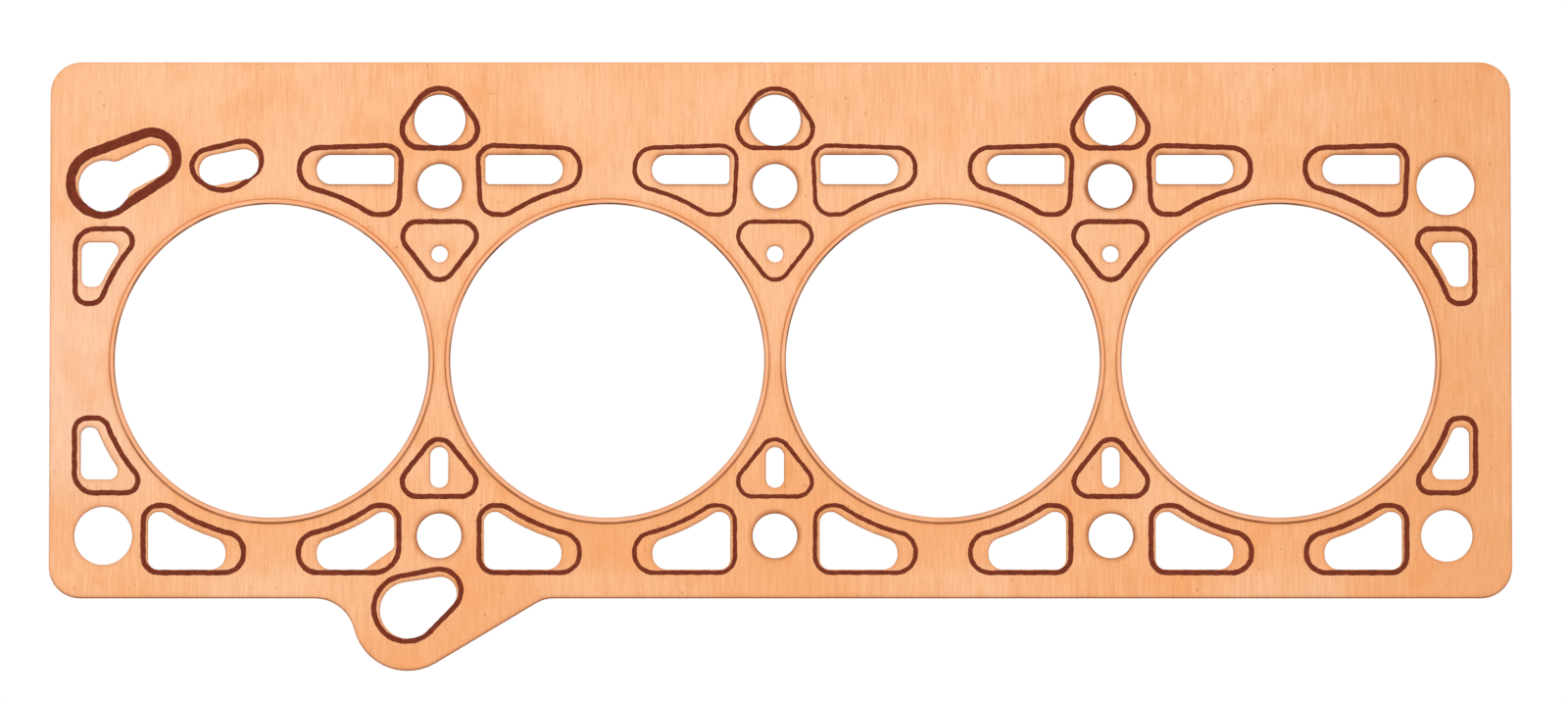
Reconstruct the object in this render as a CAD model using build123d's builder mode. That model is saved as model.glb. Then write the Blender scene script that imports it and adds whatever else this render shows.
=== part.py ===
"""Self-sealing copper head gasket for an inline four, with printed sealing beads on both faces.

The origin is the middle of the head bolt pattern, on the plane of the engine block's deck.
X runs along the crankshaft, Y across it, and Z up towards the cylinder head. Millimetres.
"""
import os
from math import acos, atan2, cos, degrees, hypot, sin, sqrt

from build123d import *

# Engine layout
cylinders = 4
bore_pitch = 93.0
bore_radius = 43.5
bolt_row = 48.5  # from the crank line to either row of head bolts

# Copper sheet: its margins are measured from the end bolt columns and the bolt rows
sheet_thickness = 1.27
margin_left = 15.0
margin_right = 18.05
margin_top = 34.4
margin_bottom = 17.3
corner_radius = 8.7

# Combustion rings, each seated in its own bore of the sheet
ring_width = 1.45
ring_clearance = 0.05
ring_proud = 0.15  # above and below the sheet
ring_chamfer = 0.12

# Printed beads
bead_height = 0.12
bead_width = 1.35
keyhole_bead_width = 2.5

# Shares of an end's height that leave the end fully round
slot_round = 0.49
side_round = 0.52

# Most that one corner takes of a narrow tip or foot
tip_round = 0.72
foot_round = 0.58

# Land kept around each bore, out to the coolant ports and to the middle of their beads
wedge_land = 8.0
end_port_land = 8.4
side_bead_land = 5.6
end_bead_land = 6.7
long_end_bead_land = 5.3  # lower left

# Round holes
bolt_hole_radius = 6.2
dowel_hole_radius = 8.05
end_bolt_hole_radius = 7.15
drain_radius = 7.15
drain_out = 18.3  # beyond the bolt row
vent_radius = 2.3
vent_out = 29.6  # from the crank line

# Upper coolant slots, from the bolt they stand beside
slot_near = 12.65
slot_far = 34.15
slot_height = 8.2
slot_out = 4.6  # middle of the slot, beyond the bolt row
slot_corner = 1.4

# Lower coolant wedges, from the bolt they stand beside
wedge_near = 12.4
wedge_far = 33.9
wedge_tip_in = 1.65  # inside the bore's radius
wedge_out = 9.35  # beyond the bolt row
wedge_corner = 2.9
clip_along = 8.3  # the wedge above the ear loses this much of its corner
clip_across = 5.9
clip_corner = 1.8

# Bridge slots between the bores, below the crank line
bridge_slot_length = 11.3
bridge_slot_width = 5.0
bridge_slot_out = 29.55

# End ports, beyond the end bolt columns
end_port_beyond = 6.3
end_port_in = 10.6  # outer side, inside the bore's radius
end_port_inner_upper = 20.5  # from the crank line
end_port_inner_lower = 18.4
end_port_corner = 2.4

# Keyhole: the top left bolt hole with an arm that feeds oil past the bolt
keyhole_radius = 7.2
keyhole_arm_radius = 4.5
keyhole_reach = 15.1
keyhole_angle = 27.2
keyhole_neck = 3.4

# Kidney: tilted coolant slot beside the keyhole, from the same bolt
kidney_x = 34.5
kidney_out = 5.25
kidney_length = 16.7
kidney_width = 8.5
kidney_angle = 11.5

# Ear below the second bolt column, with a drop-shaped oil drain, from that bolt
ear_x = -8.7
ear_out = 22.15
ear_radius = 15.2
ear_heel_x = 33.4
ear_heel_out = 8.9
ear_heel_radius = 5.0
ear_left_blend = 11.3
ear_right_blend = 9.25
drop_x = -8.5
drop_out = 20.6
drop_radius = 7.85
drop_tip_x = 0.35
drop_tip_out = 15.95
drop_tip_radius = 4.62

# Beads of the coolant ports, to the middle of the bead
upper_bead_near = 10.4
upper_bead_out = 11.4
upper_bead_tip_in = 2.9  # inside the bore's radius
upper_bead_lean = 1.0  # away from the bolt, towards the crank line
upper_bead_fall = 0.9  # of the outer side, towards the far end
lower_bead_near = 11.1
lower_bead_out = 10.2
lower_bead_tip_in = 3.4
side_bead_far = 38.9
side_bead_corner = 4.4
clipped_bead_corner = 7.0
end_bead_beyond = 8.0
end_bead_inner = 15.9
end_bead_in = 6.9  # outer side, inside the bore's radius
end_bead_corner = 3.4
end_bead_shoulder = 5.5

# Beads of the other passages: circles that a taut belt would run around
bridge_bead_round = 4.1
bridge_bead_foot_x = 6.1
vent_bead_foot_out = 34.5  # from the crank line
vent_bead_tip_out = 26.6
bridge_slot_bead_foot_out = 33.5
bridge_slot_bead_tip_out = 25.9
drain_bead_top = 7.3
drain_bead_top_out = 19.8
drain_bead_foot = 5.2
drain_bead_foot_x = 5.25
drain_bead_foot_out = 15.8
keyhole_bead_round = 8.75
keyhole_bead_x = -0.6
keyhole_bead_out = 0.95
keyhole_bead_arm = 7.1
keyhole_bead_arm_x = 12.95
keyhole_bead_arm_out = 7.8
kidney_bead_left = 4.8
kidney_bead_left_x = 29.1
kidney_bead_left_out = 5.45
kidney_bead_low = 9.3
kidney_bead_low_x = 32.95
kidney_bead_low_out = 8.15
kidney_bead_right = 5.2
kidney_bead_right_x = 38.4
kidney_bead_right_out = 7.3
drop_bead_round = 9.1
drop_bead_x = -8.9
drop_bead_out = 20.1
drop_bead_tip = 6.05
drop_bead_tip_x = 0.1
drop_bead_tip_out = 15.25

# Reach when a vertex is picked by its place
snap = 0.01

# Places that follow from the layout
columns = [bore_pitch * (i - cylinders / 2) for i in range(cylinders + 1)]
bores = [bore_pitch * (i - (cylinders - 1) / 2) for i in range(cylinders)]
left_column, ear_column = columns[0], columns[1]
right_column = columns[-1]
bridges = columns[1:-1]
bolt_sides = [(x, flip) for x in columns for flip in (True, False)][1:-1]
over_ear = (ear_column, True)
ends = [(left_column, False), (right_column, True)]
ring_outer = bore_radius + ring_width
ring_seat = ring_outer + ring_clearance
ring_height = sheet_thickness + 2 * ring_proud
block_face = ring_proud
head_face = block_face + sheet_thickness
edge_left = left_column - margin_left
edge_right = right_column + margin_right
edge_top = bolt_row + margin_top
edge_bottom = -bolt_row - margin_bottom
wedge_inner = bore_radius - wedge_tip_in
upper_bead_inner = bore_radius - upper_bead_tip_in
lower_bead_inner = bore_radius - lower_bead_tip_in
end_port_outer = bore_radius - end_port_in
end_bead_outer = bore_radius - end_bead_in


def belt(*pulleys):
    """Sketch inside a taut belt around circles (x, y, radius), taken counter-clockwise."""
    normals = []
    for (x0, y0, r0), (x1, y1, r1) in zip(pulleys, pulleys[1:] + pulleys[:1]):
        heading = atan2(y1 - y0, x1 - x0)
        normals.append(heading - acos((r0 - r1) / hypot(x1 - x0, y1 - y0)))
    with BuildSketch() as loop:
        with BuildLine():
            for i, (x, y, r) in enumerate(pulleys):
                start, end = normals[i - 1], normals[i]
                CenterArc((x, y), r, degrees(start), degrees(end - start) % 360)
                nx, ny, nr = pulleys[(i + 1) % len(pulleys)]
                off = (x + r * cos(end), y + r * sin(end))
                Line(off, (nx + nr * cos(end), ny + nr * sin(end)))
        make_face()
    return loop.sketch


def boxed(left, right, inner, outer, land, lean=0, fall=0):
    """Box beside a bolt on the Y axis, less the land around the bore to its right."""
    foot = (left + lean, inner)
    end = (right, outer - fall)
    with BuildSketch() as box:
        Polygon(foot, (right, inner), end, (left, outer), align=None)
        with Locations((bore_pitch / 2, 0)):
            Circle(bore_radius + land, mode=Mode.SUBTRACT)
    return box.sketch


def land_edge(land, out):
    """Distance from a bolt column to the land around the next bore, this far from the crank line."""
    return bore_pitch / 2 - sqrt((bore_radius + land) ** 2 - out**2)


def side_port(near, far, inner, outer, land, tip, corner, lean=0, fall=0):
    """Port to the right of a bolt: a blunt tip towards the crank line and a fully round far end."""
    end_foot = sqrt((bore_radius + land) ** 2 - (bore_pitch / 2 - far) ** 2)
    round_end = side_round * (outer - fall - max(end_foot, inner))
    round_tip = min(tip, tip_round * (land_edge(land, inner) - near - lean))
    with BuildSketch() as port:
        add(boxed(near, far, inner, outer, land, lean, fall))
        fillet(port.vertices().group_by(Axis.X)[-1], round_end)
        fillet(port.vertices().group_by(Axis.Y)[0], round_tip)
        fillet(port.vertices().group_by(Axis.X)[0].sort_by(Axis.Y)[-1], corner)
    return port.sketch


def end_port(beyond, inner, outer, land, corner, shoulder):
    """Port past an end bolt: the land around the bore trims it on the engine's side."""
    round_corner = min(corner, foot_round * (land_edge(land, inner) + beyond))
    with BuildSketch() as port:
        add(boxed(-beyond, bore_pitch / 2, inner, outer, land))
        fillet(port.vertices().sort_by_distance((-beyond, outer))[1:], round_corner)
        fillet(port.vertices().sort_by_distance((-beyond, outer))[0], shoulder)
    return port.sketch


def band(middle, width):
    """Bead sketch: a band of even width along the edge of a sketch."""
    with BuildSketch() as bead:
        offset(middle, amount=width / 2, mode=Mode.ADD)
        offset(middle, amount=-width / 2, mode=Mode.SUBTRACT)
    return bead.sketch


def placed(sketch, x, flip_x=False, flip_y=False):
    """A sketch drawn beside the Y axis, mirrored as asked and moved to a bolt column."""
    with BuildSketch() as copy:
        add(sketch)
        if flip_x:
            mirror(about=Plane.YZ, mode=Mode.REPLACE)
        if flip_y:
            mirror(about=Plane.XZ, mode=Mode.REPLACE)
    return copy.sketch.moved(Location((x, 0)))


# Outline of the sheet, with the ear blended into its lower edge
ear_lobe = (ear_column + ear_x, -bolt_row - ear_out, ear_radius)
ear_heel = (ear_column + ear_heel_x, -bolt_row - ear_heel_out, ear_heel_radius)
with BuildSketch() as outline:
    with Locations(((edge_left + edge_right) / 2, (edge_bottom + edge_top) / 2)):
        Rectangle(edge_right - edge_left, edge_top - edge_bottom)
    fillet(outline.vertices(), corner_radius)
    add(belt(ear_lobe, ear_heel))
    for pick, blend in ((1, ear_left_blend), (-2, ear_right_blend)):
        on_edge = outline.vertices().filter_by_position(Axis.Y, edge_bottom - snap, edge_bottom + snap)
        fillet(on_edge.sort_by(Axis.X)[pick], blend)

# Ports that repeat, each drawn to the right of a bolt and above the crank line
with BuildSketch() as slot:
    with Locations(((slot_near + slot_far) / 2, bolt_row + slot_out)):
        Rectangle(slot_far - slot_near, slot_height)
    fillet(slot.vertices().group_by(Axis.X)[-1], slot_round * slot_height)
    fillet(slot.vertices().group_by(Axis.X)[0], slot_corner)
wedge_outer = bolt_row + wedge_out
wedge = side_port(wedge_near, wedge_far, wedge_inner, wedge_outer, wedge_land, wedge_corner, wedge_corner)
clip_foot = (wedge_near + clip_along, wedge_outer)
clip_head = (wedge_near, wedge_outer - clip_across)
with BuildSketch() as clipped_wedge:
    add(wedge)
    Polygon((wedge_near, wedge_outer), clip_foot, clip_head, align=None, mode=Mode.SUBTRACT)
    fillet(clipped_wedge.vertices().sort_by_distance(clip_foot)[0], clip_corner)
    fillet(clipped_wedge.vertices().sort_by_distance(clip_head)[0], clip_corner)
end_upper, end_lower = [
    end_port(end_port_beyond, inner, end_port_outer, end_port_land, end_port_corner, end_port_corner)
    for inner in (end_port_inner_upper, end_port_inner_lower)
]

# Ports that come once
with BuildSketch() as keyhole:
    Circle(keyhole_radius)
    with Locations(Location((0, 0), keyhole_angle)):
        with Locations((keyhole_reach / 2, 0)):
            SlotCenterToCenter(keyhole_reach, 2 * keyhole_arm_radius)
    necks = keyhole.vertices().sort_by_distance((0, 0))[:2]
    fillet(necks, keyhole_neck)
drop = belt(
    (drop_x, -bolt_row - drop_out, drop_radius),
    (drop_tip_x, -bolt_row - drop_tip_out, drop_tip_radius),
)

# Every opening in the sheet, other than the bores
with BuildSketch() as passages:
    with Locations(*[(x, y) for x in bridges for y in (bolt_row, -bolt_row)]):
        Circle(bolt_hole_radius)
    with Locations((right_column, bolt_row), (left_column, -bolt_row)):
        Circle(dowel_hole_radius)
    with Locations((right_column, -bolt_row)):
        Circle(end_bolt_hole_radius)
    with Locations(*[(x, bolt_row + drain_out) for x in bridges]):
        Circle(drain_radius)
    with Locations(*[(x, vent_out) for x in bridges]):
        Circle(vent_radius)
    with Locations(*[(x, -bridge_slot_out) for x in bridges]):
        SlotOverall(bridge_slot_length, bridge_slot_width, rotation=90)
    with Locations((left_column + kidney_x, bolt_row + kidney_out)):
        SlotOverall(kidney_length, kidney_width, rotation=kidney_angle)
    with Locations((left_column, bolt_row)):
        add(keyhole.sketch)
    add(placed(drop, ear_column))
    for x, flip in bolt_sides[1:]:
        add(placed(slot.sketch, x, flip))
    for x, flip in bolt_sides:
        add(placed(clipped_wedge.sketch if (x, flip) == over_ear else wedge, x, flip, True))
    for x, flip in ends:
        add(placed(end_upper, x, flip))
        add(placed(end_lower, x, flip, True))

# Bead outlines, drawn to the middle of the bead
upper_loop = side_port(
    upper_bead_near,
    side_bead_far,
    upper_bead_inner,
    bolt_row + upper_bead_out,
    side_bead_land,
    side_bead_corner,
    side_bead_corner,
    upper_bead_lean,
    upper_bead_fall,
)
lower_loop, clipped_loop = [
    side_port(
        lower_bead_near,
        side_bead_far,
        lower_bead_inner,
        bolt_row + lower_bead_out,
        side_bead_land,
        side_bead_corner,
        corner,
    )
    for corner in (side_bead_corner, clipped_bead_corner)
]
end_loop, long_end_loop = [
    end_port(end_bead_beyond, end_bead_inner, end_bead_outer, land, end_bead_corner, end_bead_shoulder)
    for land in (end_bead_land, long_end_bead_land)
]
vent_loop, bridge_slot_loop = [
    belt(
        (0, tip_out, bridge_bead_round),
        (bridge_bead_foot_x, foot_out, bridge_bead_round),
        (-bridge_bead_foot_x, foot_out, bridge_bead_round),
    )
    for tip_out, foot_out in (
        (vent_bead_tip_out, vent_bead_foot_out),
        (bridge_slot_bead_tip_out, bridge_slot_bead_foot_out),
    )
]
drain_loop = belt(
    (-drain_bead_foot_x, bolt_row + drain_bead_foot_out, drain_bead_foot),
    (drain_bead_foot_x, bolt_row + drain_bead_foot_out, drain_bead_foot),
    (0, bolt_row + drain_bead_top_out, drain_bead_top),
)
keyhole_loop = belt(
    (keyhole_bead_x, bolt_row + keyhole_bead_out, keyhole_bead_round),
    (keyhole_bead_arm_x, bolt_row + keyhole_bead_arm_out, keyhole_bead_arm),
)
kidney_loop = belt(
    (kidney_bead_left_x, bolt_row + kidney_bead_left_out, kidney_bead_left),
    (kidney_bead_low_x, bolt_row + kidney_bead_low_out, kidney_bead_low),
    (kidney_bead_right_x, bolt_row + kidney_bead_right_out, kidney_bead_right),
)
drop_loop = belt(
    (drop_bead_x, -bolt_row - drop_bead_out, drop_bead_round),
    (drop_bead_tip_x, -bolt_row - drop_bead_tip_out, drop_bead_tip),
)

# Bead outlines by family, from left to right: a kidney takes the place of the first upper slot
families = {
    "upper_coolant": [placed(upper_loop, x, flip) for x, flip in bolt_sides[1:]],
    "lower_coolant": [
        placed(clipped_loop if (x, flip) == over_ear else lower_loop, x, flip, True)
        for x, flip in bolt_sides
    ],
    "upper_end": [placed(end_loop, x, flip) for x, flip in ends],
    "lower_end": [placed(loop, x, flip, True) for loop, (x, flip) in zip((long_end_loop, end_loop), ends)],
    "vent": [placed(vent_loop, x) for x in bridges],
    "bridge_slot": [placed(bridge_slot_loop, x, False, True) for x in bridges],
    "drain": [placed(drain_loop, x) for x in bridges],
    "keyhole": [placed(keyhole_loop, left_column)],
    "kidney": [placed(kidney_loop, left_column)],
    "drop": [placed(drop_loop, ear_column)],
}

os.makedirs("parts", exist_ok=True)

with BuildPart() as copper_sheet:
    with BuildSketch(Plane.XY.offset(block_face)):
        add(outline.sketch)
        add(passages.sketch, mode=Mode.SUBTRACT)
        with Locations(*[(x, 0) for x in bores]):
            Circle(ring_seat, mode=Mode.SUBTRACT)
    extrude(amount=sheet_thickness)
copper_sheet.part.label = "copper_sheet"
export_step(copper_sheet.part, "parts/copper_sheet.step")

for i, x in enumerate(bores, 1):
    with BuildPart() as ring:
        with BuildSketch():
            with Locations((x, 0)):
                Circle(ring_outer)
                Circle(bore_radius, mode=Mode.SUBTRACT)
        extrude(amount=ring_height)
        rims = ring.edges().filter_by(GeomType.CIRCLE).group_by(SortBy.RADIUS)[-1]
        chamfer(rims, ring_chamfer)
    ring.part.label = f"combustion_ring_{i}"
    export_step(ring.part, f"parts/combustion_ring_{i}.step")

# The head face has a node for each bead, and the block face one for each family
for family, loops in families.items():
    width = keyhole_bead_width if family == "keyhole" else bead_width
    bands = [band(loop, width) for loop in loops]
    alone = len(bands) == 1
    for i, sketch in enumerate(bands, 1):
        with BuildPart() as bead:
            with BuildSketch(Plane.XY.offset(head_face)):
                add(sketch)
                add(passages.sketch, mode=Mode.SUBTRACT)
            extrude(amount=bead_height)
        name = f"{family}_bead" if alone else f"{family}_bead_{i}"
        bead.part.label = name
        export_step(bead.part, f"parts/{name}.step")
    with BuildPart() as block_beads:
        with BuildSketch(Plane.XY.offset(block_face)):
            add(bands)
            add(passages.sketch, mode=Mode.SUBTRACT)
        extrude(amount=-bead_height)
    name = f"block_{family}_bead" if alone else f"block_{family}_beads"
    block_beads.part.label = name
    export_step(block_beads.part, f"parts/{name}.step")
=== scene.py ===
"""Looks of a copper head gasket: brushed sheet, combustion rings and printed sealing beads.

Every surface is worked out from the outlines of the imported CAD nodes, in metres, in their frame.
"""

import logging
import math
from dataclasses import dataclass
from enum import Enum
from typing import Any, NamedTuple, Optional, Union

import bpy
import numpy as np
from mathutils.geometry import delaunay_2d_cdt
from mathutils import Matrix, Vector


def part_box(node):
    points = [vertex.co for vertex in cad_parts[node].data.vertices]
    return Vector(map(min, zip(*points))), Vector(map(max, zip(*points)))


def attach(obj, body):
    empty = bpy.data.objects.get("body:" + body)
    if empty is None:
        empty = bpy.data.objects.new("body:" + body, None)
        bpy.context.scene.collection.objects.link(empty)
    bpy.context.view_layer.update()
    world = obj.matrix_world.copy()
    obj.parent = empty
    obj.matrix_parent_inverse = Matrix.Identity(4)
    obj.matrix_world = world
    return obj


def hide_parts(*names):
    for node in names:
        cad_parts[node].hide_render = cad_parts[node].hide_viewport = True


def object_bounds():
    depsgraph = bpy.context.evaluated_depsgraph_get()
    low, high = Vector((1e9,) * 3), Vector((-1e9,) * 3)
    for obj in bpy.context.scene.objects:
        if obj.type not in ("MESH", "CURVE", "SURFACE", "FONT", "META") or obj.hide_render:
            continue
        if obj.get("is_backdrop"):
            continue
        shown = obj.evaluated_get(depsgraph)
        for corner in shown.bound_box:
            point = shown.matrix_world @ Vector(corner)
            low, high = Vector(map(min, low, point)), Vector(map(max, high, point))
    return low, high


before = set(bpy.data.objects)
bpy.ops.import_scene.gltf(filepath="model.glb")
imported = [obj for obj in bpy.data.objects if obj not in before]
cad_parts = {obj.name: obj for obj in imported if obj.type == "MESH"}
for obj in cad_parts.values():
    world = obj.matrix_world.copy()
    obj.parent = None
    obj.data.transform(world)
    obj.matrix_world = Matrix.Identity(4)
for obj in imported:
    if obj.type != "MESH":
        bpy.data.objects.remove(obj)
log = logging.getLogger("gasket")

MM = 0.001
PHOTO_SIZE = (1600, 716)
CHUNK = 800  # points that are compared with every edge at a time
JOIN = 0.0005 * MM  # corners nearer than this are one point
FLAT = 0.002 * MM  # a face is flat to this height
Colour = tuple[float, float, float, float]


class Face(Enum):
    """The gasket's two faces, by the way they look."""

    HEAD = 1.0
    BLOCK = -1.0


class Slot(Enum):
    """Material slots of the record."""

    SHEET = "sheet"
    RING = "ring"
    BEAD = "bead"


class Cut(Enum):
    """What an outline of the sheet is cut for.

    Each tells how strong its dark line is, then the brown tint along it and then the amber tint
    around it, where the copper lies below, beside and above the cut.
    """

    # The dark line is painted shade along the rounded rim.
    BORE = ((0.8, 0.2, 0.1), (0.05, 0.05, 0.05), (0.3, 0.2, 0.4))
    BOLT = ((0.5, 0.75, 0.75), (0.55, 0.8, 0.9), (0.4, 0.45, 0.45))
    SCORCHED = ((1.2, 1.4, 1.4), (1.2, 1.7, 1.6), (0.6, 0.6, 0.6))
    UPPER = ((0.6, 0.4, 0.7), (0.4, 0.12, 0.9), (0.2, 0.2, 0.3))
    DRAIN = ((0.4, 0.75, 0.95), (0.3, 0.4, 0.7), (0.3, 0.35, 0.35))
    OTHER = ((0.2, 0.3, 0.45), (0.1, 0.15, 0.3), (0.1, 0.1, 0.2))
    EDGE = ((0.1, 0.2, 0.95), (0.05, 0.1, 0.3), (0.0, 0.0, 0.0))


def srgb(red: float, green: float, blue: float) -> Colour:
    """A display colour as scene-linear light.

    Args:
        red: Red, 0 to 255.
        green: Green, 0 to 255.
        blue: Blue, 0 to 255.

    Returns:
        Linear red, green, blue and a full alpha.
    """
    shown = np.array([red, green, blue]) / 255
    linear = np.where(shown <= 0.04045, shown / 12.92, ((shown + 0.055) / 1.055) ** 2.4)
    return (*linear.tolist(), 1.0)


class Wire:
    """A shader socket that takes part in arithmetic: each operator adds a Math node."""

    def __init__(self, graph: "Graph", socket: bpy.types.NodeSocket) -> None:
        """Keep the socket and the graph that it belongs to."""
        self.graph = graph
        self.socket = socket

    def math(self, operation: str, first: "Value", second: "Value" = 0.0) -> "Wire":
        """One Math node of two values."""
        return self.graph.node("Math", {"operation": operation}, {0: first, 1: second})

    def __add__(self, other: "Value") -> "Wire":
        """Sum."""
        return self.math("ADD", self, other)

    def __radd__(self, other: "Value") -> "Wire":
        """Sum with a number on the left."""
        return self.math("ADD", other, self)

    def __sub__(self, other: "Value") -> "Wire":
        """Difference."""
        return self.math("SUBTRACT", self, other)

    def __rsub__(self, other: "Value") -> "Wire":
        """Difference from a number on the left."""
        return self.math("SUBTRACT", other, self)

    def __mul__(self, other: "Value") -> "Wire":
        """Product."""
        return self.math("MULTIPLY", self, other)

    def __rmul__(self, other: "Value") -> "Wire":
        """Product with a number on the left."""
        return self.math("MULTIPLY", other, self)

    def __truediv__(self, other: "Value") -> "Wire":
        """Quotient."""
        return self.math("DIVIDE", self, other)

    def __rtruediv__(self, other: "Value") -> "Wire":
        """Quotient of a number on the left."""
        return self.math("DIVIDE", other, self)

    def __pow__(self, other: "Value") -> "Wire":
        """Power."""
        return self.math("POWER", self, other)

    def __rpow__(self, other: "Value") -> "Wire":
        """Power of a number on the left."""
        return self.math("POWER", other, self)

    def ramp(self, start: float, end: float, low: "Value" = 0.0, high: "Value" = 1.0) -> "Wire":
        """A smooth step of this value.

        Args:
            start: Value at which the step begins.
            end: Value at which it ends.
            low: Result before the step.
            high: Result after it.

        Returns:
            The eased value.
        """
        settings = {"interpolation_type": "SMOOTHSTEP"}
        return self.graph.node("MapRange", settings, {0: self, 1: start, 2: end, 3: low, 4: high})


Value = Union[float, Wire]


class Graph:
    """A node tree under construction, of a material or of the world."""

    def __init__(self, owner: Union[bpy.types.Material, bpy.types.World], output: str) -> None:
        """Empty the owner's tree and give it its output node.

        Args:
            owner: The material or world.
            output: Type of its output node.
        """
        self.owner = owner
        owner.use_nodes = True
        self.tree = owner.node_tree
        self.tree.nodes.clear()
        self.output = self.tree.nodes.new(output)

    @classmethod
    def material(cls, name: str) -> "Graph":
        """The tree of a new material."""
        return cls(bpy.data.materials.new(name), "ShaderNodeOutputMaterial")

    @classmethod
    def world(cls, name: str) -> "Graph":
        """The tree of a new world."""
        return cls(bpy.data.worlds.new(name), "ShaderNodeOutputWorld")

    def node(
        self,
        kind: str,
        settings: Optional[dict[str, Any]] = None,
        sockets: Optional[dict[Union[int, str], Any]] = None,
        result: Union[int, str] = 0,
    ) -> Wire:
        """Add any node.

        Args:
            kind: The node's type, without its ShaderNode prefix.
            settings: Properties, set before the sockets are read.
            sockets: Values or wires, by socket name or number.
            result: The output socket that is handed on.

        Returns:
            That output.
        """
        made = self.tree.nodes.new("ShaderNode" + kind)
        for name, value in (settings or {}).items():
            setattr(made, name, value)
        for key, value in (sockets or {}).items():
            if isinstance(value, Wire):
                self.tree.links.new(value.socket, made.inputs[key])
            else:
                made.inputs[key].default_value = value
        return Wire(self, made.outputs[result])

    def split(self, vector: Wire) -> tuple[Wire, Wire, Wire]:
        """The three parts of a vector."""
        x, y, z = (self.node("SeparateXYZ", sockets={0: vector}, result=axis) for axis in "XYZ")
        return x, y, z

    def place(self) -> tuple[Wire, Wire, Wire]:
        """Object coordinates in millimetres, one wire for each axis."""
        point = self.node("TexCoord", result="Object")
        return self.split(self.node("VectorMath", {"operation": "SCALE"}, {0: point, "Scale": 1 / MM}))

    def vector(self, x: Value, y: Value, z: Value = 0.0) -> Wire:
        """Three values as one vector."""
        return self.node("CombineXYZ", sockets={0: x, 1: y, 2: z})

    def mark(self, name: str) -> Wire:
        """A value that the mesh holds at each point."""
        return self.node("Attribute", {"attribute_name": name}, result="Fac")

    def wrap(self, value: Wire, low: float, high: float) -> Wire:
        """A value that starts again at low wherever it reaches high."""
        return self.node("Math", {"operation": "WRAP"}, {0: value, 1: high, 2: low})

    def mix(self, share: Value, first: Union[Colour, Wire], second: Union[Colour, Wire]) -> Wire:
        """Blend two colours.

        Args:
            share: How much of the second colour.
            first: Colour or wire.
            second: Colour or wire.

        Returns:
            The blended colour.
        """
        return self.node("Mix", {"data_type": "RGBA"}, {0: share, 6: first, 7: second}, result=2)

    def scaled(self, colour: Wire, by: Wire) -> Wire:
        """A colour made lighter or darker by a value."""
        return self.node("VectorMath", {"operation": "SCALE"}, {0: colour, "Scale": by})

    def finish(self, shader: Wire) -> Union[bpy.types.Material, bpy.types.World]:
        """Link the surface shader and hand over the tree's owner."""
        self.tree.links.new(shader.socket, self.output.inputs["Surface"])
        return self.owner


class Step(NamedTuple):
    """A smooth step: where it starts and ends, and its value before and after."""

    start: float
    end: float
    before: float = 0.0
    after: float = 1.0


@dataclass(frozen=True)
class Pattern:
    """A layer of cloudy noise: clouds for each millimetre along each axis, and how fine it goes."""

    pitch: tuple[float, float, float]
    layer: float = 0.0
    detail: float = 2.0
    rough: float = 0.5

    def value(self, graph: Graph, x: Wire, y: Wire, z: Value = 0.0) -> Wire:
        """The noise at a place.

        Args:
            graph: The tree that it is added to.
            x: First part of the place, in millimetres.
            y: Second part.
            z: Third part.

        Returns:
            A value from 0 to 1, around a half.
        """
        along_x, along_y, along_z = self.pitch
        at = graph.vector(x * along_x, y * along_y, z * along_z + self.layer)
        sockets = {"Vector": at, "Scale": 1.0, "Detail": self.detail, "Roughness": self.rough}
        return graph.node("TexNoise", sockets=sockets)

    def swing(self, graph: Graph, x: Wire, y: Wire, z: Value = 0.0) -> Wire:
        """The same noise around zero."""
        return self.value(graph, x, y, z) - 0.5


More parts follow.
